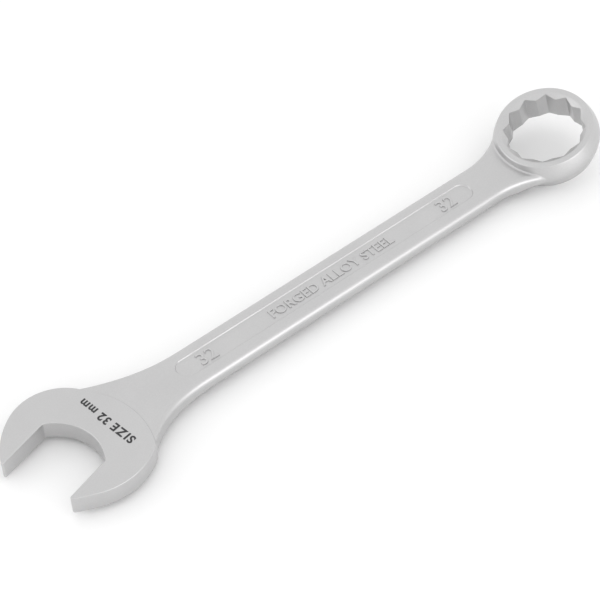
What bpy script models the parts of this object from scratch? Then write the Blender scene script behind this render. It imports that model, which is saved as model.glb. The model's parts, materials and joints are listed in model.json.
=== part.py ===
"""Combination wrench for 32 mm nuts: an open jaw turned 15 degrees at one end, and a
twelve-point ring tilted 15 degrees at the other.

The wrench is one steel forging. Its size mark is printed on the open head, each character
a thin film of ink. Metres, +Z up, +X from the open head to the ring. The origin is the
middle of the box's underside.
"""

import math

import bmesh
import bpy
from mathutils import Matrix, Vector

MM = 0.001

# The nut, and the play that each end leaves around it
NUT_SIZE = 32 * MM
JAW_CLEARANCE = 0.3 * MM
RING_CLEARANCE = 0.25 * MM

# The whole wrench
CENTRE_DISTANCE = 257 * MM  # from the jaw's centre to the ring's
SHANK_HALF_WIDTH = 10.8 * MM
SHANK_THICKNESS = 8.6 * MM
SHANK_EDGE_RADIUS = 3.5 * MM

# Open head: a flat plate that stands a little proud of the neck on both faces
HEAD_THICKNESS = 9.4 * MM
HEAD_STEP = 0.4 * MM
JAW_ANGLE = math.radians(15)
HALF_OPENING = (NUT_SIZE + JAW_CLEARANCE) / 2
NEAR_RADIUS = HALF_OPENING + 14.65 * MM  # the cheek's steel beside the nut
NEAR_JOINT = math.radians(53)  # where the cheek's arc turns into the flatter arc of its horn
NEAR_HORN_RADIUS = 90 * MM
FAR_RADIUS = HALF_OPENING + 6.5 * MM
FAR_CENTRE = Vector((4 * MM, -8 * MM))  # from the jaw's centre: out of it, across it
FAR_JOINT = math.radians(74)
FAR_HORN_RADIUS = 38.5 * MM
TIP_RADIUS = 0.8 * MM
THROAT_RADIUS = HALF_OPENING + 5.95 * MM
THROAT_DEPTH = 2 * MM  # how far the throat goes behind the jaw's centre
THROAT_CORNER_RADIUS = 1.2 * MM
SHOULDER_RADIUS = HALF_OPENING + 21.4 * MM  # the step between the plate and the neck
SHOULDER_CENTRE = Vector((15.6 * MM, 3.2 * MM))
SHOULDER_BACK = SHOULDER_CENTRE.x * math.cos(JAW_ANGLE) - SHOULDER_CENTRE.y * math.sin(JAW_ANGLE)
SHOULDER_REACH = SHOULDER_RADIUS - SHOULDER_BACK  # along the shank from the jaw's centre

# Neck at the open head: its edges sharpen as it widens
NECK_START = 9 * MM
NECK_END = 61 * MM
NEAR_FLARE_FOOT = 11.7 * MM  # where each side would reach the head's full radius
NEAR_FLARE_MEETS = 18 * MM  # up to here the near side keeps inside the cheek's arc
FAR_FLARE_FOOT = -5.9 * MM
FAR_FLARE_END = 52.3 * MM
NEAR_FLARE_POWER = 3  # a higher power keeps the flare close to the head
FAR_FLARE_POWER = 2
NECK_EDGE_RADIUS = 0.8 * MM

# Ring: a barrel-shaped wall with a twelve-point hole and a lead-in at each end
RING_TILT = math.radians(15)
RING_RISE = 5.7 * MM  # height of the ring's centre over the shank's mid-plane
RING_WALL = 5.6 * MM  # outside the hole's corners, at mid-height
RING_HEIGHT = 15.2 * MM
RING_CROWN = 2.4 * MM  # how much smaller the wall's radius is at its rims
CROWN_SOFTNESS = 0.35  # share of the half height over which the wall's two slopes blend
HALF_FLATS = (NUT_SIZE + RING_CLEARANCE) / 2
STAR_POINTS = 12
STAR_STEP = math.pi / STAR_POINTS  # from a corner to the ridge beside it
STAR_CORNER_RADIUS = HALF_FLATS / math.cos(2 * STAR_STEP)
STAR_RIDGE_RADIUS = HALF_FLATS / math.cos(STAR_STEP)
STAR_TURN = math.radians(13.5)  # of the first corner from the +X side
RING_RADIUS = STAR_CORNER_RADIUS + RING_WALL
LEAD_IN_WIDTH = 0.8 * MM  # outside the hole's corners, on the rim
LEAD_IN_SLOPE = math.radians(32.5)

# Neck at the ring, measured back from the ring's centre: each side runs on an arc that
# leaves the shank's side and enters the ring's wall at a small angle
RING_NECK_RADIUS = 42 * MM
RING_NECK_BITE = 0.5 * MM  # how deep in the wall the arc would touch a circle about the ring
RING_NECK_REACH = RING_RADIUS - RING_NECK_BITE + RING_NECK_RADIUS
RING_NECK_OFFSET = SHANK_HALF_WIDTH + RING_NECK_RADIUS
RING_NECK_START = math.sqrt(RING_NECK_REACH**2 - RING_NECK_OFFSET**2)
RING_NECK_END = 14 * MM
RING_NECK_MEETS = 17.5 * MM
RING_NECK_EDGE_RADIUS = 2.6 * MM
FULLEST_EDGE = 0.45  # no edge radius takes more of the thickness than this
UNDERSIDE_LIFT_START = 27 * MM
UNDERSIDE_LIFT = 3.6 * MM  # the underside rises so that it ends inside the ring's wall

# Panel: a shallow sunk strip with round ends along both faces of the shank
PANEL_HALF_WIDTH = 4.7 * MM
PANEL_DEPTH = 0.6 * MM
PANEL_FROM_JAW = 48.3 * MM
PANEL_FROM_RING = 46.7 * MM

# Printed size mark
MARK = (
    ("printed_letter_s", "S"),
    ("printed_letter_i", "I"),
    ("printed_letter_z", "Z"),
    ("printed_letter_e", "E"),
    ("printed_digit_3", "3"),
    ("printed_digit_2", "2"),
    ("printed_letter_m_1", "m"),
    ("printed_letter_m_2", "m"),
)
MARK_GAPS = (0, 0, 0, 0, 1, 0, 1, 0)  # word gaps before each character
MARK_HEIGHT = 4.0 * MM
MARK_SPACING = 0.75 * MM
MARK_WORD_GAP = 1.6 * MM
MARK_BOLDNESS = 0.15 * MM  # ink added all round each stroke
MARK_CENTRE = Vector((11.4 * MM, -1.4 * MM))
MARK_TURN = math.radians(97.5)
INK_THICKNESS = 0.08 * MM

CAP_SHARE = 0.683  # of the type size that a capital is tall

ARC_STEPS = 10
CORNER_STEPS = 4
RING_STEPS = 72
CROWN_STEPS = 8
NECK_STATIONS = 13
SHANK_STATIONS = 3
RING_NECK_STATIONS = 9
SHARP_EDGE = math.radians(30)
OVERRUN = 3 * MM  # how far a cutter runs past the faces that it cuts
LEAD_IN_OVERRUN = 0.75 * MM


def arc(centre, radius, start, end, steps=ARC_STEPS):
    """Points along an arc, both ends included."""
    turns = (start + (end - start) * i / steps for i in range(steps + 1))
    return [centre + radius * Vector((math.cos(a), math.sin(a))) for a in turns]


def angle_of(vector):
    return math.atan2(vector.y, vector.x)


def crossing(centre_a, radius_a, centre_b, radius_b):
    """Of the two points where two circles cross, the one to the left of the way a to b."""
    line = centre_b - centre_a
    along = (line.length**2 + radius_a**2 - radius_b**2) / (2 * line.length)
    across = math.sqrt(radius_a**2 - along**2)
    unit = line.normalized()
    return centre_a + along * unit + across * unit.orthogonal()


def flipped(point):
    return Vector((point.x, -point.y))


def mirrored(points):
    return [flipped(p) for p in reversed(points)]


def cheek(centre, radius, start, joint, horn_radius):
    """One side of the head, from its tip back to the shoulder, for the cheek at +v.

    The horn's flatter arc follows on from the cheek's, and a small round turns it into
    the jaw's flat.
    """
    horn_centre = centre - (horn_radius - radius) * Vector((math.cos(joint), math.sin(joint)))
    tip_v = HALF_OPENING + TIP_RADIUS
    reach = math.sqrt((horn_radius - TIP_RADIUS) ** 2 - (tip_v - horn_centre.y) ** 2)
    tip_centre = Vector((horn_centre.x + reach, tip_v))
    tip_turn = angle_of(tip_centre - horn_centre)
    tip = arc(tip_centre, TIP_RADIUS, -math.pi / 2, tip_turn, CORNER_STEPS)
    horn = arc(horn_centre, horn_radius, tip_turn, joint, CORNER_STEPS)
    return tip + horn[1:] + arc(centre, radius, joint, start)[1:]


def throat():
    """The jaw's bottom, from the flat at -v to the flat at +v."""
    centre = Vector((THROAT_RADIUS - THROAT_DEPTH, 0))
    corner_v = HALF_OPENING - THROAT_CORNER_RADIUS
    reach = math.sqrt((THROAT_RADIUS - THROAT_CORNER_RADIUS) ** 2 - corner_v**2)
    corner = Vector((centre.x - reach, corner_v))
    turn = angle_of(corner - centre)
    upper = arc(corner, THROAT_CORNER_RADIUS, turn, math.pi / 2, CORNER_STEPS)
    bottom = arc(centre, THROAT_RADIUS, 2 * math.pi - turn, turn, 2 * ARC_STEPS)
    return mirrored(upper) + bottom[1:-1] + upper


def head_outline():
    """The plate's outline in the jaw's frame: u out of the jaw, v across it."""
    centre = Vector((0, 0))
    near_end = crossing(centre, NEAR_RADIUS, SHOULDER_CENTRE, SHOULDER_RADIUS)
    far_end = crossing(FAR_CENTRE, FAR_RADIUS, SHOULDER_CENTRE, SHOULDER_RADIUS)
    near = cheek(centre, NEAR_RADIUS, angle_of(near_end), NEAR_JOINT, NEAR_HORN_RADIUS)
    start = angle_of(near_end - SHOULDER_CENTRE)
    end = angle_of(far_end - SHOULDER_CENTRE) + 2 * math.pi
    shoulder = arc(SHOULDER_CENTRE, SHOULDER_RADIUS, start, end)[1:-1]
    far_turn = angle_of(flipped(far_end) - flipped(FAR_CENTRE))
    far = cheek(flipped(FAR_CENTRE), FAR_RADIUS, far_turn, FAR_JOINT, FAR_HORN_RADIUS)
    return near + shoulder + mirrored(far) + throat()


def smooth_step(value):
    t = min(max(value, 0), 1)
    return t * t * (3 - 2 * t)


def flare(x, foot, end, power):
    """Extra half-width of the neck, which would be the head's at foot and is gone at end."""
    share = max(end - x, 0) / (end - foot)
    return (NEAR_RADIUS - SHANK_HALF_WIDTH) * share**power


def station(x):
    """The shank's section at x: near and far half-widths, top, underside, edge radius."""
    to_ring = CENTRE_DISTANCE - x
    into_neck = max(RING_NECK_START - to_ring, 0)
    spread = into_neck / (RING_NECK_START - RING_NECK_MEETS)
    at_ring = RING_NECK_RADIUS - math.sqrt(RING_NECK_RADIUS**2 - into_neck**2)
    near = SHANK_HALF_WIDTH + at_ring + flare(x, NEAR_FLARE_FOOT, NECK_END, NEAR_FLARE_POWER)
    far = SHANK_HALF_WIDTH + at_ring + flare(x, FAR_FLARE_FOOT, FAR_FLARE_END, FAR_FLARE_POWER)
    if x < NEAR_FLARE_MEETS:
        near = min(near, math.sqrt(NEAR_RADIUS**2 - x**2))
    beyond_head = smooth_step((x - SHOULDER_REACH) / (PANEL_FROM_JAW - SHOULDER_REACH))
    top = HEAD_THICKNESS / 2 - HEAD_STEP
    top += (SHANK_THICKNESS / 2 - top) * beyond_head
    lift = max(UNDERSIDE_LIFT_START - to_ring, 0) / (UNDERSIDE_LIFT_START - RING_NECK_END)
    rounding = smooth_step((x - NECK_START) / (NECK_END - NECK_START))
    edge = NECK_EDGE_RADIUS + (SHANK_EDGE_RADIUS - NECK_EDGE_RADIUS) * rounding
    edge += (RING_NECK_EDGE_RADIUS - SHANK_EDGE_RADIUS) * smooth_step(spread)
    bottom = UNDERSIDE_LIFT * lift - top
    return near, far, top, bottom, min(edge, FULLEST_EDGE * (top - bottom))


def section(x):
    """The section's outline at x, as points in space."""
    near, far, top, bottom, edge = station(x)
    corners = (
        (far - edge, top - edge, 0),
        (edge - near, top - edge, 1),
        (edge - near, bottom + edge, 2),
        (far - edge, bottom + edge, 3),
    )
    points = []
    for y, z, quarter in corners:
        start = quarter * math.pi / 2
        for p in arc(Vector((y, z)), edge, start, start + math.pi / 2, CORNER_STEPS):
            points.append(Vector((x, p.x, p.y)))
    return points


def even(start, end, steps):
    return [start + (end - start) * i / steps for i in range(steps)]


def as_object(name, bm):
    """A mesh object from the bmesh, with its faces pointing out."""
    bmesh.ops.recalc_face_normals(bm, faces=bm.faces[:])
    mesh = bpy.data.meshes.new(name)
    bm.to_mesh(mesh)
    bm.free()
    mesh.shade_smooth()
    mesh.set_sharp_from_angle(angle=SHARP_EDGE)
    obj = bpy.data.objects.new(name, mesh)
    bpy.context.collection.objects.link(obj)
    return obj


def prism(name, outline, low, high):
    """The outline drawn up from low to high."""
    bm = bmesh.new()
    base = bm.faces.new([bm.verts.new((p.x, p.y, low)) for p in outline])
    raised = bmesh.ops.extrude_face_region(bm, geom=[base])["geom"]
    corners = [item for item in raised if isinstance(item, bmesh.types.BMVert)]
    bmesh.ops.translate(bm, verts=corners, vec=(0, 0, high - low))
    return as_object(name, bm)


def turned(name, profile):
    """The profile, radius and height from bottom to top, turned about Z and closed."""
    bm = bmesh.new()
    verts = [bm.verts.new((radius, 0, height)) for radius, height in profile]
    edges = [bm.edges.new(pair) for pair in zip(verts, verts[1:])]
    bmesh.ops.spin(
        bm,
        geom=verts + edges,
        cent=(0, 0, 0),
        axis=(0, 0, 1),
        angle=2 * math.pi,
        steps=RING_STEPS,
        use_merge=True,
    )
    bmesh.ops.edgeloop_fill(bm, edges=[e for e in bm.edges if e.is_boundary])
    return as_object(name, bm)


def shank():
    """The shank with both necks, lofted through its sections."""
    ring_neck = CENTRE_DISTANCE - RING_NECK_START
    ring_end = CENTRE_DISTANCE - RING_NECK_END
    stations = even(NECK_START, NECK_END, NECK_STATIONS)
    stations += even(NECK_END, ring_neck, SHANK_STATIONS)
    stations += even(ring_neck, ring_end, RING_NECK_STATIONS) + [ring_end]
    bm = bmesh.new()
    rings = [[bm.verts.new(p) for p in section(x)] for x in stations]
    for ring, following in zip(rings, rings[1:]):
        for i in range(len(ring)):
            bm.faces.new((ring[i - 1], ring[i], following[i], following[i - 1]))
    bm.faces.new(rings[0])
    bm.faces.new(reversed(rings[-1]))
    return as_object("forged_wrench_body", bm)


def ring_frame():
    """Places what is drawn about the ring's axis."""
    place = Matrix.Translation((CENTRE_DISTANCE, 0, RING_RISE))
    return place @ Matrix.Rotation(-RING_TILT, 4, "Y")


def crown(share):
    """How far in the ring's wall is, from 0 at its mid-height to 1 at a rim."""
    rim = math.hypot(1, CROWN_SOFTNESS) - CROWN_SOFTNESS
    return (math.hypot(share, CROWN_SOFTNESS) - CROWN_SOFTNESS) / rim


def ring_wall():
    half = RING_HEIGHT / 2
    shares = [2 * i / CROWN_STEPS - 1 for i in range(CROWN_STEPS + 1)]
    return turned("ring_wall", [(RING_RADIUS - RING_CROWN * crown(s), half * s) for s in shares])


def star_cutter():
    """The twelve-point hole: two hexagons, turned 30 degrees from each other."""
    radii = (STAR_CORNER_RADIUS, STAR_RIDGE_RADIUS)
    outline = []
    for i in range(2 * STAR_POINTS):
        turn = STAR_TURN + STAR_STEP * i
        outline.append(radii[i % 2] * Vector((math.cos(turn), math.sin(turn))))
    reach = RING_HEIGHT / 2 + OVERRUN
    return prism("star_cutter", outline, -reach, reach)


def lead_in_cutter(name):
    """A cone that opens the hole's top edge. Turned over, it opens the bottom edge."""
    slope = math.tan(LEAD_IN_SLOPE)
    half = RING_HEIGHT / 2
    rim = STAR_CORNER_RADIUS + LEAD_IN_WIDTH
    depth = (rim - STAR_RIDGE_RADIUS) * slope + LEAD_IN_OVERRUN
    low = (rim - depth / slope, half - depth)
    high = (rim + OVERRUN / slope, half + OVERRUN)
    return turned(name, [low, high])


def panel_cutter(name, low, high):
    start = Vector((PANEL_FROM_JAW + PANEL_HALF_WIDTH, 0))
    end = Vector((CENTRE_DISTANCE - PANEL_FROM_RING - PANEL_HALF_WIDTH, 0))
    quarter = math.pi / 2
    outline = arc(end, PANEL_HALF_WIDTH, -quarter, quarter)
    outline += arc(start, PANEL_HALF_WIDTH, quarter, 3 * quarter)
    return prism(name, outline, low, high)


def combine(body, tool, operation):
    """Joins the tool to the body or cuts it away, and keeps it as a hidden helper."""
    modifier = body.modifiers.new(tool.name, "BOOLEAN")
    modifier.operation = operation
    modifier.solver = "EXACT"
    modifier.object = tool
    tool.hide_render = True
    tool.display_type = "WIRE"


def finish(name, color, metallic, roughness):
    material = bpy.data.materials.new(name)
    material.use_nodes = True
    shader = material.node_tree.nodes["Principled BSDF"]
    shader.inputs["Base Color"].default_value = (*color, 1)
    shader.inputs["Metallic"].default_value = metallic
    shader.inputs["Roughness"].default_value = roughness
    return material


def wrench_body(root):
    """The whole forging: the shank, with the head and the ring joined on and their cuts."""
    body = shank()
    head = prism("head_plate", head_outline(), -HEAD_THICKNESS / 2, HEAD_THICKNESS / 2)
    head.rotation_euler.z = math.pi + JAW_ANGLE
    wall = ring_wall()
    star = star_cutter()
    top_lead_in = lead_in_cutter("top_lead_in")
    bottom_lead_in = lead_in_cutter("bottom_lead_in")
    for tool in (wall, star, top_lead_in):
        tool.matrix_world = ring_frame()
    bottom_lead_in.matrix_world = ring_frame() @ Matrix.Rotation(math.pi, 4, "X")
    floor = SHANK_THICKNESS / 2 - PANEL_DEPTH
    top_panel = panel_cutter("top_panel", floor, floor + OVERRUN)
    bottom_panel = panel_cutter("bottom_panel", -floor - OVERRUN, -floor)
    added = (head, wall)
    cut = (star, top_lead_in, bottom_lead_in, top_panel, bottom_panel)
    for tool in added:
        combine(body, tool, "UNION")
    for tool in cut:
        combine(body, tool, "DIFFERENCE")
    for piece in (body, *added, *cut):
        piece.parent = root
    body.data.materials.append(finish("satin_chrome", (0.62, 0.62, 0.63), 1, 0.32))
    return body


def character(name, letter):
    """One printed character as a thin closed film, its left edge at x = 0."""
    curve = bpy.data.curves.new(name, "FONT")
    curve.body = letter
    curve.size = (MARK_HEIGHT - 2 * MARK_BOLDNESS) / CAP_SHARE
    curve.offset = MARK_BOLDNESS
    curve.extrude = INK_THICKNESS / 2
    curve.resolution_u = CORNER_STEPS
    drawn = bpy.data.objects.new(name, curve)
    bm = bmesh.new()
    bm.from_mesh(drawn.to_mesh())
    bpy.data.objects.remove(drawn)
    bmesh.ops.remove_doubles(bm, verts=bm.verts[:], dist=MM / 1000)
    left = min(v.co.x for v in bm.verts)
    bmesh.ops.translate(bm, verts=bm.verts[:], vec=(-left, MARK_BOLDNESS - MARK_HEIGHT / 2, 0))
    return as_object(name, bm)


def printed_mark(root):
    """The size, printed across the head beside the jaw's throat."""
    ink = finish("black_ink", (0.02, 0.02, 0.02), 0, 0.5)
    turn = Matrix.Rotation(MARK_TURN, 3, "Z")
    start = 0
    places = []
    for (name, letter), gap in zip(MARK, MARK_GAPS):
        piece = character(name, letter)
        piece.data.materials.append(ink)
        start += gap * MARK_WORD_GAP
        places.append((piece, start))
        start += piece.dimensions.x + MARK_SPACING
    middle = (start - MARK_SPACING) / 2
    height = (HEAD_THICKNESS + INK_THICKNESS) / 2
    for piece, along in places:
        piece.parent = root
        piece.location = turn @ Vector((along - middle, 0, 0)) + Vector((*MARK_CENTRE, height))
        piece.rotation_euler.z = MARK_TURN


def stand_on_origin(root, body):
    """Moves the wrench so that its box's underside is centred on the origin."""
    bpy.context.view_layer.update()
    shape = body.evaluated_get(bpy.context.evaluated_depsgraph_get())
    corners = [shape.matrix_world @ Vector(corner) for corner in shape.bound_box]
    low = Vector(min(c[axis] for c in corners) for axis in range(3))
    high = Vector(max(c[axis] for c in corners) for axis in range(3))
    root.location = (-(low.x + high.x) / 2, -(low.y + high.y) / 2, -low.z)


for leftover in list(bpy.data.objects):
    bpy.data.objects.remove(leftover)
origin = bpy.data.objects.new("wrench_origin", None)
bpy.context.collection.objects.link(origin)
wrench = wrench_body(origin)
printed_mark(origin)
stand_on_origin(origin, wrench)
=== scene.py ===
import json
import math

import bmesh
import bpy
from mathutils import Matrix, Vector


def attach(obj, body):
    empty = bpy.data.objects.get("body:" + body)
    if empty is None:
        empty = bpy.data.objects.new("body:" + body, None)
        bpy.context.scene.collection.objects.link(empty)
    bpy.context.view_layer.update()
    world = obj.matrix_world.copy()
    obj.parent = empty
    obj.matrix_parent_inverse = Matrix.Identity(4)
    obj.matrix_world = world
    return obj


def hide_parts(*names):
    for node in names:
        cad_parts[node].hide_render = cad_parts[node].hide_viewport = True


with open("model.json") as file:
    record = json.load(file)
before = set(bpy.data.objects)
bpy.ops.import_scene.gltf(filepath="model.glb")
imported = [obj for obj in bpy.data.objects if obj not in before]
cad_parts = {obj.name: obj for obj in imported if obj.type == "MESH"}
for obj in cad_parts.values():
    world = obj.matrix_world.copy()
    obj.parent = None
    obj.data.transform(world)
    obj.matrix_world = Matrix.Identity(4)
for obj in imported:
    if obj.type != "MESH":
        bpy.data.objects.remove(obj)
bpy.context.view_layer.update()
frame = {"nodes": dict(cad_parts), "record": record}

MM = 0.001


# ---------------------------------------------------------------------------------------
# Where the wrench lies. The record's mounts give the jaw's flats, the ring's hole and the
# head's two faces, and everything below is placed from them.
mounts = {mount["name"]: mount for mount in frame["record"]["mounts"]}


def place(name):
    return Vector(mounts[name]["pos_m"])


def facing(name):
    return Vector(mounts[name]["axis"])


nut_across_ring = (place("ring_flat_a") + place("ring_flat_b")) / 2
ring_axis = facing("ring_top_face").normalized()
ring_middle = (place("ring_top_face") + place("ring_bottom_face")) / 2
ring_centre = nut_across_ring + ring_axis * (ring_middle - nut_across_ring).dot(ring_axis)
ring_height = (place("ring_top_face") - place("ring_bottom_face")).dot(ring_axis)
ring_half_flats = (place("ring_flat_a") - ring_centre).dot(-facing("ring_flat_a"))
ring_tilt = math.atan2(-ring_axis.x, ring_axis.z)

across_jaw = facing("jaw_flat_near").normalized()
jaw_middle = (place("jaw_flat_near") + place("jaw_flat_far")) / 2
jaw_half_opening = (place("jaw_flat_far") - place("jaw_flat_near")).dot(across_jaw) / 2
jaw_angle = math.atan2(-across_jaw.x, across_jaw.y)
along_jaw = Vector((across_jaw.y, -across_jaw.x, 0))
head_thickness = place("head_top").z - place("head_underside").z
mid_height = (place("head_top").z + place("head_underside").z) / 2
# The jaw's centre is where the slot's middle line meets the shank's.
to_shank_line = (ring_centre.y - jaw_middle.y) / along_jaw.y
jaw_centre = jaw_middle + along_jaw * to_shank_line
jaw_centre.z = mid_height
centre_distance = ring_centre.x - jaw_centre.x


# ---------------------------------------------------------------------------------------
# The camera stands past the open head, on the near side, and looks down with a long lens.
# The wrench runs from the lower left of its view, where the jaw is, to the upper right.
camera_data = bpy.data.cameras.new("camera")
camera_data.lens = 120
camera_data.sensor_width = 36
camera_data.clip_end = 10
camera = bpy.data.objects.new("camera", camera_data)
bpy.context.scene.collection.objects.link(camera)
camera.location = (-354.69 * MM, -445.64 * MM, 640.37 * MM)
camera.rotation_euler = (math.radians(41.700), math.radians(1.749), math.radians(-39.556))
bpy.context.scene.camera = camera


# ---------------------------------------------------------------------------------------
# The forging: one bar of alloy steel, drop forged with a flat open head and a tilted ring,
# ground on the head's faces, broached in the ring, blasted fine and chrome plated satin.
# The shank is a bar whose necks widen into the head and the ring.
shank_half_width = 10.8 * MM
shank_half_thickness = 4.3 * MM
shank_edge = 3.5 * MM
head_edge = 0.45 * MM
neck_start = 9 * MM
neck_end = 61 * MM
near_flare_foot = 11.7 * MM
near_flare_meets = 18 * MM
near_flare_power = 3
far_flare_foot = -5.9 * MM
far_flare_end = 52.3 * MM
far_flare_power = 2
neck_edge = 0.8 * MM
cheek_inset = 0.06 * MM  # keeps the neck's side just inside the cheek's
near_radius = jaw_half_opening + 14.65 * MM

ring_wall_thickness = 5.6 * MM
ring_crown = 2.4 * MM
crown_softness = 0.35  # share of the half height over which the wall's slopes blend
star_points = 12
star_step = math.pi / star_points  # from a point of the hole to the ridge beside it
ring_corner_radius = ring_half_flats / math.cos(2 * star_step)
ring_ridge_radius = ring_half_flats / math.cos(star_step)
ring_radius = ring_corner_radius + ring_wall_thickness
ring_neck_radius = 42 * MM
ring_neck_bite = 0.5 * MM  # the neck's arc is drawn to a circle this far inside the wall
ring_neck_start = math.sqrt(
    (ring_radius - ring_neck_bite + ring_neck_radius) ** 2
    - (shank_half_width + ring_neck_radius) ** 2
)
ring_neck_end = 14 * MM
ring_neck_meets = 17.5 * MM
ring_neck_edge = 2.6 * MM
fullest_edge = 0.45  # no edge radius takes more of the thickness than this
underside_lift_start = 27 * MM
underside_lift = 3.6 * MM  # the neck's underside climbs to meet the tilted ring
ring_fillet = 0.9 * MM
fillet_slack = 0.12 * ring_fillet  # the fillet stops short of standing upright
edge_segments = 8


def smooth_step(value):
    t = min(max(value, 0), 1)
    return t * t * (3 - 2 * t)


def flare(x, foot, end, power):
    share = max(end - x, 0) / (end - foot)
    return (near_radius - shank_half_width) * share**power


def station(x):
    """Near and far half-widths, top, underside and edge radius, x past the jaw's centre."""
    to_ring = centre_distance - x
    into_neck = max(ring_neck_start - to_ring, 0)
    spread = into_neck / (ring_neck_start - ring_neck_meets)
    at_ring = ring_neck_radius - math.sqrt(ring_neck_radius**2 - into_neck**2)
    near = shank_half_width + at_ring + flare(x, near_flare_foot, neck_end, near_flare_power)
    far = shank_half_width + at_ring + flare(x, far_flare_foot, far_flare_end, far_flare_power)
    if x < near_flare_meets:
        near = min(near, math.sqrt((near_radius - cheek_inset) ** 2 - x**2))
    lift = max(underside_lift_start - to_ring, 0) / (underside_lift_start - ring_neck_end)
    rounding = smooth_step((x - neck_start) / (neck_end - neck_start))
    edge = neck_edge + (shank_edge - neck_edge) * rounding
    edge += (ring_neck_edge - shank_edge) * smooth_step(spread)
    bottom = underside_lift * lift - shank_half_thickness
    edge = min(edge, fullest_edge * (shank_half_thickness - bottom))
    return near, far, shank_half_thickness, bottom, edge


def choose(piece, kind, test):
    """In edit mode, selects just the piece's faces or edges that pass the test."""
    bm = bmesh.from_edit_mesh(piece.data)
    bm.select_mode = {kind}
    for item in (*bm.faces, *bm.edges, *bm.verts):
        item.select_set(False)
    for item in {"FACE": bm.faces, "EDGE": bm.edges}[kind]:
        if test(item):
            item.select_set(True)
    bm.select_flush_mode()
    bmesh.update_edit_mesh(piece.data)


def take(piece):
    """Makes the piece the only one selected."""
    bpy.ops.object.select_all(action="DESELECT")
    bpy.context.view_layer.objects.active = piece
    piece.select_set(True)


def edit(piece, kind="FACE"):
    take(piece)
    bpy.ops.object.mode_set(mode="EDIT")
    bpy.ops.mesh.select_mode(type=kind)


def leave_edit():
    bpy.ops.object.mode_set(mode="OBJECT")


def round_edges(piece, test, radius, segments):
    """In edit mode, rounds just the piece's edges that pass the test."""
    choose(piece, "EDGE", test)
    bpy.ops.mesh.bevel(offset=radius, segments=segments, affect="EDGES")


def cut_across(position, normal):
    bpy.ops.mesh.bisect(plane_co=position, plane_no=normal)


def spaced(start, end, step):
    """Places from start to end, both included, about a step apart."""
    count = max(1, round((end - start) / step))
    return [start + (end - start) * i / count for i in range(count + 1)]


def apply_place(piece):
    take(piece)
    bpy.ops.object.transform_apply(location=True, rotation=True, scale=True)


def combine(piece, tool, operation):
    """Joins the tool to the piece or cuts it away, and the tool is gone."""
    modifier = piece.modifiers.new(tool.name, "BOOLEAN")
    modifier.operation = operation
    modifier.solver = "EXACT"
    modifier.object = tool
    take(piece)
    bpy.ops.object.modifier_apply(modifier=modifier.name)
    bpy.data.objects.remove(tool)


bpy.ops.object.select_all(action="DESELECT")
shank_length = centre_distance - ring_neck_end - neck_start
bpy.ops.mesh.primitive_cube_add(size=1)
wrench = bpy.context.active_object
wrench.name = "forged_wrench"
wrench.scale = (shank_length, 2 * shank_half_width, 2 * shank_half_thickness)
wrench.location.x = neck_start + shank_length / 2
apply_place(wrench)

edit(wrench, "EDGE")
round_edges(
    wrench,
    lambda e: abs(e.verts[0].co.x - e.verts[1].co.x) > shank_length / 2,
    shank_edge,
    edge_segments,
)

# Sections are close together where the shape turns, and closest beside the ring.
ring_neck_from = centre_distance - ring_neck_start
fine_from = centre_distance - 26 * MM
stations = []
for start, end, step in (
    (neck_start, neck_end, 1 * MM),
    (neck_end, ring_neck_from, 16 * MM),
    (ring_neck_from, fine_from, 0.9 * MM),
    (fine_from, centre_distance - ring_neck_end, 0.35 * MM),
):
    stations += spaced(start, end, step)[1:]
for x in stations[:-1]:
    bpy.ops.mesh.select_all(action="SELECT")
    cut_across((x, 0, 0), (1, 0, 0))
flat_half = shank_half_width - shank_edge
strip = 0.42 * MM


def beside_ring(face):
    return face.calc_center_median().x > fine_from


for y in spaced(-flat_half, flat_half, strip)[1:-1]:
    choose(wrench, "FACE", beside_ring)
    cut_across((0, y, 0), (0, 1, 0))
choose(wrench, "FACE", beside_ring)
cut_across((0, 0, 0), (0, 0, 1))
leave_edit()

ring_place = Matrix.Translation((centre_distance, 0, ring_centre.z - mid_height))
ring_place = ring_place @ Matrix.Rotation(-ring_tilt, 4, "Y")
into_ring = ring_place.inverted()


def crown(share):
    """How far in the barrel's wall is, from 0 at its mid-height to 1 at a rim."""
    rim = math.hypot(1, crown_softness) - crown_softness
    return (math.hypot(share, crown_softness) - crown_softness) / rim


def wall_gap(point):
    """How far the point is outside the ring's barrel wall."""
    p = into_ring @ point
    share = min(abs(p.z) / (ring_height / 2), 1)
    return math.hypot(p.x, p.y) - (ring_radius - ring_crown * crown(share))


def fillet_rise(gap):
    """Height of the round fillet that a neck's surface makes against the ring's wall."""
    reach = ring_fillet - max(gap, 0) - fillet_slack
    if reach <= 0:
        return 0
    return ring_fillet - math.sqrt(ring_fillet**2 - reach**2)


flat_height = shank_half_thickness - shank_edge
for vertex in wrench.data.vertices:
    co = vertex.co
    near, far, top, bottom, radius = station(co.x)
    half_width = near if co.y < 0 else far
    upper = top - radius
    lower = bottom + radius
    side = math.copysign(1, co.y)
    level = math.copysign(1, co.z)
    # How far into the rounded edge the vertex is, from 0 to 1. On a flat it is below 0.
    in_y = (abs(co.y) - flat_half) / shank_edge
    in_z = (abs(co.z) - flat_height) / shank_edge
    if in_y > 0:
        y = half_width - radius + radius * in_y
    else:
        y = abs(co.y) / flat_half * (half_width - radius)
    if in_z > 0:
        z = (upper if co.z > 0 else lower) + level * radius * in_z
    else:
        share = co.z / flat_height / 2 + 0.5
        z = lower + (upper - lower) * share
    vertex.co = (co.x, side * y, z)
    gap = wall_gap(vertex.co)
    if gap < ring_fillet:
        rise = fillet_rise(gap)
        vertex.co.z += level * rise * min(max(in_z, 0), 1)

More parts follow.
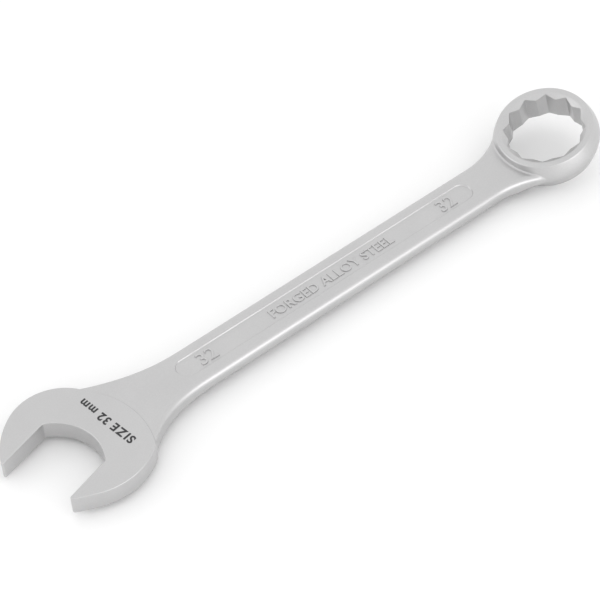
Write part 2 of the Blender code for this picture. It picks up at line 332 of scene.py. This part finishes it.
# The head is a flat plate drawn with arcs: two cheeks, their horns, the throat between the
# jaw's flats, and the shoulder where the plate stands proud of the neck.
near_joint = math.radians(53)
near_horn_radius = 90 * MM
far_radius = jaw_half_opening + 6.5 * MM
far_centre = Vector((4 * MM, -8 * MM))
far_joint = math.radians(74)
far_horn_radius = 38.5 * MM
tip_radius = 0.8 * MM
throat_radius = jaw_half_opening + 5.95 * MM
throat_depth = 2 * MM
throat_corner_radius = 1.2 * MM
shoulder_radius = jaw_half_opening + 21.4 * MM
shoulder_centre = Vector((15.6 * MM, 3.2 * MM))
arc_step = 0.7 * MM
fewest_arc_steps = 4


def arc(centre, radius, start, end):
    """Points along an arc, both ends included, about evenly spaced."""
    count = max(fewest_arc_steps, round(abs(end - start) * radius / arc_step))
    turns = (start + (end - start) * i / count for i in range(count + 1))
    return [centre + radius * Vector((math.cos(a), math.sin(a))) for a in turns]


def angle_of(vector):
    return math.atan2(vector.y, vector.x)


def crossing(centre_a, radius_a, centre_b, radius_b):
    """Of the two points where two circles cross, the one to the left of the way a to b."""
    line = centre_b - centre_a
    along = (line.length**2 + radius_a**2 - radius_b**2) / (2 * line.length)
    unit = line.normalized()
    return centre_a + along * unit + math.sqrt(radius_a**2 - along**2) * unit.orthogonal()


def flipped(point):
    return Vector((point.x, -point.y))


def mirrored(points):
    return [flipped(p) for p in reversed(points)]


def cheek(centre, radius, start, joint, horn_radius):
    """One side of the head from its tip back to the shoulder, for the cheek at +v."""
    horn_centre = centre - (horn_radius - radius) * Vector((math.cos(joint), math.sin(joint)))
    tip_v = jaw_half_opening + tip_radius
    reach = math.sqrt((horn_radius - tip_radius) ** 2 - (tip_v - horn_centre.y) ** 2)
    tip_centre = Vector((horn_centre.x + reach, tip_v))
    tip_turn = angle_of(tip_centre - horn_centre)
    tip = arc(tip_centre, tip_radius, -math.pi / 2, tip_turn)
    horn = arc(horn_centre, horn_radius, tip_turn, joint)
    return tip + horn[1:] + arc(centre, radius, joint, start)[1:]


def throat():
    """The jaw's bottom, from the flat at -v to the flat at +v."""
    centre = Vector((throat_radius - throat_depth, 0))
    corner_v = jaw_half_opening - throat_corner_radius
    reach = math.sqrt((throat_radius - throat_corner_radius) ** 2 - corner_v**2)
    corner = Vector((centre.x - reach, corner_v))
    turn = angle_of(corner - centre)
    upper = arc(corner, throat_corner_radius, turn, math.pi / 2)
    bottom = arc(centre, throat_radius, 2 * math.pi - turn, turn)
    return mirrored(upper) + bottom[1:-1] + upper


near_end = crossing(Vector((0, 0)), near_radius, shoulder_centre, shoulder_radius)
far_end = crossing(far_centre, far_radius, shoulder_centre, shoulder_radius)
outline = cheek(Vector((0, 0)), near_radius, angle_of(near_end), near_joint, near_horn_radius)
shoulder_from = angle_of(near_end - shoulder_centre)
shoulder_to = angle_of(far_end - shoulder_centre) + 2 * math.pi
outline += arc(shoulder_centre, shoulder_radius, shoulder_from, shoulder_to)[1:-1]
far_turn = angle_of(flipped(far_end) - flipped(far_centre))
outline += mirrored(cheek(flipped(far_centre), far_radius, far_turn, far_joint, far_horn_radius))
outline += throat()

head_mesh = bpy.data.meshes.new("head_plate")
corners = [(p.x, p.y, -head_thickness / 2) for p in outline]
head_mesh.from_pydata(corners, [], [list(range(len(corners)))])
head = bpy.data.objects.new("head_plate", head_mesh)
bpy.context.scene.collection.objects.link(head)
edit(head)
bpy.ops.mesh.select_all(action="SELECT")
bpy.ops.mesh.extrude_region_move(TRANSFORM_OT_translate={"value": (0, 0, head_thickness)})
bpy.ops.mesh.select_all(action="SELECT")
bpy.ops.mesh.normals_make_consistent(inside=False)
bpy.ops.mesh.select_mode(type="EDGE")
round_edges(head, lambda e: abs(e.verts[0].co.z - e.verts[1].co.z) < MM / 100, head_edge, 3)
leave_edit()
head.rotation_euler.z = math.pi + jaw_angle
apply_place(head)

# The ring is a barrel-shaped wall, tilted, with its rims rounded over.
ring_sides = 192
ring_band = 1 * MM
rim_edge = 0.5 * MM
bpy.ops.object.select_all(action="DESELECT")
bpy.ops.mesh.primitive_cylinder_add(vertices=ring_sides, radius=ring_radius, depth=ring_height)
ring = bpy.context.active_object
edit(ring)
for z in spaced(-ring_height / 2, ring_height / 2, ring_band)[1:-1]:
    bpy.ops.mesh.select_all(action="SELECT")
    cut_across((0, 0, z), (0, 0, 1))
leave_edit()
for vertex in ring.data.vertices:
    share = abs(vertex.co.z) / (ring_height / 2)
    narrowed = (ring_radius - ring_crown * crown(share)) / ring_radius
    vertex.co.x *= narrowed
    vertex.co.y *= narrowed
edit(ring, "EDGE")
round_edges(ring, lambda e: len({len(f.verts) for f in e.link_faces}) == 2, rim_edge, 4)
leave_edit()
ring.matrix_world = ring_place
apply_place(ring)

combine(wrench, head, "UNION")
combine(wrench, ring, "UNION")

# The hole is broached with twelve points and opened by a lead-in at both ends.
star_turn = math.radians(13.5)
star_edge = 0.3 * MM
overrun = 3 * MM
lead_in_width = 0.8 * MM
lead_in_slope = math.tan(math.radians(32.5))
lead_in_overrun = 0.75 * MM
lead_in_rim = ring_corner_radius + lead_in_width
lead_in_depth = (lead_in_rim - ring_ridge_radius) * lead_in_slope + lead_in_overrun
bpy.ops.object.select_all(action="DESELECT")
bpy.ops.mesh.primitive_cylinder_add(
    vertices=2 * star_points, radius=ring_corner_radius, depth=ring_height + 2 * overrun
)
star = bpy.context.active_object
for vertex in star.data.vertices:
    turn = math.atan2(vertex.co.y, vertex.co.x)
    if round(turn / star_step) % 2:
        vertex.co.x *= ring_ridge_radius / ring_corner_radius
        vertex.co.y *= ring_ridge_radius / ring_corner_radius
edit(star, "EDGE")
round_edges(star, lambda e: abs(e.verts[0].co.z - e.verts[1].co.z) > ring_height, star_edge, 3)
leave_edit()
star.matrix_world = ring_place @ Matrix.Rotation(star_turn, 4, "Z")
apply_place(star)
combine(wrench, star, "DIFFERENCE")
for turned_over in (0, math.pi):
    bpy.ops.object.select_all(action="DESELECT")
    bpy.ops.mesh.primitive_cone_add(
        vertices=ring_sides,
        radius1=lead_in_rim - lead_in_depth / lead_in_slope,
        radius2=lead_in_rim + overrun / lead_in_slope,
        depth=lead_in_depth + overrun,
        location=(0, 0, ring_height / 2 + (overrun - lead_in_depth) / 2),
    )
    lead_in = bpy.context.active_object
    apply_place(lead_in)
    lead_in.matrix_world = ring_place @ Matrix.Rotation(turned_over, 4, "X")
    apply_place(lead_in)
    combine(wrench, lead_in, "DIFFERENCE")

# Both faces of the shank have a shallow panel, sunk by the die, with drafted walls.
panel_half_width = 4.7 * MM
panel_depth = 0.6 * MM
panel_draft = 0.3 * MM
panel_floor_edge = 0.3 * MM
panel_from_jaw = 48.3 * MM
panel_from_ring = 46.7 * MM
panel_length = centre_distance - panel_from_jaw - panel_from_ring
panel_middle = (panel_from_jaw + centre_distance - panel_from_ring) / 2
panel_sides = 64
for turned_over in (0, math.pi):
    bpy.ops.object.select_all(action="DESELECT")
    bpy.ops.mesh.primitive_cylinder_add(
        vertices=panel_sides, radius=panel_half_width, depth=2 * panel_depth
    )
    panel = bpy.context.active_object
    # The round is pulled apart into a long slot. Vertices at its middle go to the ring's end.
    for vertex in panel.data.vertices:
        vertex.co.x += math.copysign(panel_length / 2 - panel_half_width, vertex.co.x + MM / 100)
        if vertex.co.z > 0:
            vertex.co.x += math.copysign(panel_draft, vertex.co.x)
            vertex.co.y *= 1 + 2 * panel_draft / panel_half_width
    edit(panel, "EDGE")
    round_edges(panel, lambda e: max(v.co.z for v in e.verts) < 0, panel_floor_edge, 3)
    leave_edit()
    panel.location.z = shank_half_thickness
    apply_place(panel)
    panel.rotation_euler.x = turned_over
    panel.location.x = panel_middle
    apply_place(panel)
    combine(wrench, panel, "DIFFERENCE")

# Tumbling before the plating has rounded the sharp rims of the cuts. The normals are then
# weighted by area, so that flat faces stay flat beside the rounding.
rim_round = 0.5 * MM
panel_round = 0.15 * MM
same_point = MM / 500
same_level = MM / 50
same_circle = MM / 20
rim_angle = math.radians(20)
forging_smooth_angle = math.radians(32)


def on_lead_in_rim(edge):
    for vertex in edge.verts:
        p = into_ring @ vertex.co
        off_face = abs(abs(p.z) - ring_height / 2)
        off_circle = abs(math.hypot(p.x, p.y) - lead_in_rim)
        if off_face > same_level or off_circle > same_circle:
            return False
    return True


def on_panel_rim(edge):
    for vertex in edge.verts:
        off_face = abs(abs(vertex.co.z) - shank_half_thickness)
        past_end = abs(vertex.co.x - panel_middle) >= panel_length / 2 + MM
        if off_face > same_level / 2 or past_end:
            return False
    return edge.calc_face_angle(0) > rim_angle


edit(wrench, "EDGE")
bpy.ops.mesh.select_all(action="SELECT")
bpy.ops.mesh.remove_doubles(threshold=same_point)
bpy.ops.mesh.select_all(action="SELECT")
bpy.ops.mesh.normals_make_consistent(inside=False)
round_edges(wrench, on_lead_in_rim, rim_round, 4)
round_edges(wrench, on_panel_rim, panel_round, 2)
leave_edit()
wrench.location = jaw_centre
apply_place(wrench)
bpy.ops.object.shade_smooth_by_angle(angle=forging_smooth_angle)
even_light = wrench.modifiers.new("even_light", "WEIGHTED_NORMAL")
even_light.keep_sharp = True
bpy.ops.object.modifier_apply(modifier=even_light.name)


class Shade:
    """A number in a material's nodes. Arithmetic on it adds Math nodes."""

    def __init__(self, material, socket):
        self.material = material
        self.socket = socket

    def math(self, operation, first, second):
        settings = {"operation": operation}
        return self.material.node("ShaderNodeMath", settings, {0: first, 1: second}, 0)

    def __add__(self, other):
        return self.math("ADD", self, other)

    def __radd__(self, other):
        return self.math("ADD", other, self)

    def __sub__(self, other):
        return self.math("SUBTRACT", self, other)

    def __rsub__(self, other):
        return self.math("SUBTRACT", other, self)

    def __mul__(self, other):
        return self.math("MULTIPLY", self, other)

    def __rmul__(self, other):
        return self.math("MULTIPLY", other, self)


class Finish:
    """A material on a Principled shader, whose nodes are added one call each."""

    def __init__(self, name):
        self.material = bpy.data.materials.new(name)
        self.material.use_nodes = True
        self.tree = self.material.node_tree
        self.shader = self.tree.nodes["Principled BSDF"]

    def node(self, kind, settings, inputs, output):
        """Adds a node and returns one of its outputs."""
        node = self.tree.nodes.new(kind)
        for name, value in settings.items():
            setattr(node, name, value)
        for name, value in inputs.items():
            self.feed(node.inputs[name], value)
        return Shade(self, node.outputs[output])

    def feed(self, socket, value):
        if isinstance(value, Shade):
            self.tree.links.new(value.socket, socket)
        else:
            socket.default_value = value

    def set(self, **inputs):
        """Sets the shader's own sockets, such as Base_Color."""
        for name, value in inputs.items():
            self.feed(self.shader.inputs[name.replace("_", " ")], value)

    def noise(self, place, scale, detail, roughness):
        inputs = {"Vector": place, "Scale": scale, "Detail": detail, "Roughness": roughness}
        return self.node("ShaderNodeTexNoise", {}, inputs, 0)

    def blend(self, share, dark, light):
        """A colour between the dark one and the light one."""
        inputs = {0: share, 6: (*dark, 1), 7: (*light, 1)}
        return self.node("ShaderNodeMix", {"data_type": "RGBA"}, inputs, 2)

    def bump(self, strength, distance, height):
        inputs = {"Strength": strength, "Distance": distance, "Height": height}
        return self.node("ShaderNodeBump", {}, inputs, 0)

    def put_on(self, piece):
        piece.data.materials.clear()
        piece.data.materials.append(self.material)


# Satin chrome: fine blasted grain, a pebbly tone, and faint strokes along the shank.
satin = Finish("satin_chrome")
on_piece = satin.node("ShaderNodeTexCoord", {}, {}, "Object")
grain = satin.noise(on_piece, scale=5200.0, detail=3.0, roughness=0.6)
cloud = satin.noise(on_piece, scale=55.0, detail=3.0, roughness=0.55)
pebble = satin.noise(on_piece, scale=1500.0, detail=4.0, roughness=0.65)
streaked = satin.node(
    "ShaderNodeMapping", {}, {"Vector": on_piece, "Scale": (0.08, 1.0, 1.0)}, "Vector"
)
brushed = satin.noise(streaked, scale=2600.0, detail=2.0, roughness=0.5)
tone = cloud * 0.4 + pebble * 0.6
satin.set(
    Base_Color=satin.blend(tone, dark=(0.490, 0.488, 0.492), light=(0.640, 0.637, 0.636)),
    Metallic=1.0,
    Roughness=0.28 + cloud * 0.05 + grain * 0.08 + pebble * 0.08,
    Normal=satin.bump(
        strength=0.5, distance=0.010 * MM, height=grain + brushed * 0.35 + pebble
    ),
)
satin.put_on(wrench)
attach(wrench, "root")
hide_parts("forged_wrench_body")


# ---------------------------------------------------------------------------------------
# Raised lettering in both panels, part of the forging: the die pressed the size near each
# end and the kind of steel between them, with soft edges.
letter_rise = 0.50 * MM
letter_soft = 0.20 * MM
letter_root = 0.08 * MM  # how far the letters reach into the panel's floor
letter_thin = 0.08 * MM  # taken off each stroke's sides before the soft edge adds to them
letter_smooth_angle = math.radians(50)
cap_share = 0.683  # of the type size that a capital is tall
panel_floor = shank_half_thickness - panel_depth
for face, turned_over in (("top", 0), ("underside", math.pi)):
    drawn = []
    for words, height, along in (
        ("32", 6.3 * MM, 63.0 * MM),
        ("FORGED ALLOY STEEL", 4.6 * MM, 130.5 * MM),
        ("32", 6.3 * MM, 196.0 * MM),
    ):
        bpy.ops.object.text_add(location=(along, -height / 2, 0))
        text = bpy.context.active_object
        text.data.body = words
        text.data.align_x = "CENTER"
        text.data.size = height / cap_share
        text.data.resolution_u = 6
        text.data.extrude = (letter_rise + letter_root) / 2 - letter_soft
        text.data.bevel_depth = letter_soft
        text.data.bevel_resolution = 2
        text.data.offset = -letter_thin
        take(text)
        bpy.ops.object.convert(target="MESH")
        drawn.append(text)
    for text in drawn:
        text.select_set(True)
    bpy.context.view_layer.objects.active = drawn[0]
    bpy.ops.object.join()
    lettering = bpy.context.active_object
    lettering.name = "raised_lettering_" + face
    apply_place(lettering)
    lettering.location.z = panel_floor + (letter_rise - letter_root) / 2
    apply_place(lettering)
    # Turned over about the shank's line, the words still read from the open head.
    lettering.rotation_euler.x = turned_over
    lettering.location = jaw_centre
    apply_place(lettering)
    edit(lettering)
    bpy.ops.mesh.select_all(action="SELECT")
    bpy.ops.mesh.remove_doubles(threshold=same_point)
    leave_edit()
    bpy.ops.object.shade_smooth_by_angle(angle=letter_smooth_angle)
    satin.put_on(lettering)
    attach(lettering, "root")


# ---------------------------------------------------------------------------------------
# The printed size on the head: a thin film of matt black ink, pad printed on the chrome.
# Its characters are the frame's own solids, and only get their material here.
ink = Finish("black_ink")
on_print = ink.node("ShaderNodeTexCoord", {}, {}, "Object")
speckle = ink.noise(on_print, scale=9000.0, detail=2.0, roughness=0.6)
density = ink.noise(on_print, scale=900.0, detail=3.0, roughness=0.5)
ink.set(
    Base_Color=ink.blend(density, dark=(0.014, 0.014, 0.015), light=(0.034, 0.034, 0.036)),
    Roughness=0.42 + speckle * 0.2,
    Normal=ink.bump(strength=0.3, distance=0.010 * MM, height=speckle),
)
for name, piece in frame["nodes"].items():
    if name.startswith("printed_"):
        ink.put_on(piece)


# ---------------------------------------------------------------------------------------
# The stage: a pale paper floor under the wrench and a white room. One soft box lights the
# shank's near side, and a weaker one brightens the rims that face the open head.
bpy.ops.object.select_all(action="DESELECT")
bpy.ops.mesh.primitive_plane_add(size=8)
floor = bpy.context.active_object
floor.name = "floor"
paper = Finish("pale_floor")
paper.set(Base_Color=(0.96, 0.96, 0.96, 1), Roughness=0.7)
paper.put_on(floor)

world = bpy.data.worlds.new("white_room")
world.use_nodes = True
background = world.node_tree.nodes["Background"]
background.inputs["Color"].default_value = (1, 1, 1, 1)
background.inputs["Strength"].default_value = 1.06
bpy.context.scene.world = world
bpy.context.scene.view_settings.view_transform = "Standard"


def soft_box(name, direction, distance, width, height, power):
    """A lit panel at the distance in the direction, facing the wrench."""
    light = bpy.data.lights.new(name, "AREA")
    light.shape = "RECTANGLE"
    light.size = width
    light.size_y = height
    light.energy = power
    box = bpy.data.objects.new(name, light)
    bpy.context.scene.collection.objects.link(box)
    box.location = Vector(direction).normalized() * distance
    box.rotation_euler = (-Vector(direction)).to_track_quat("-Z", "Y").to_euler()


soft_box("front_box", (0.10, -0.92, 0.21), distance=1.3, width=1.3, height=0.60, power=3.6)
soft_box("head_box", (-0.86, 0.42, 0.28), distance=1.3, width=1.0, height=0.60, power=1.8)
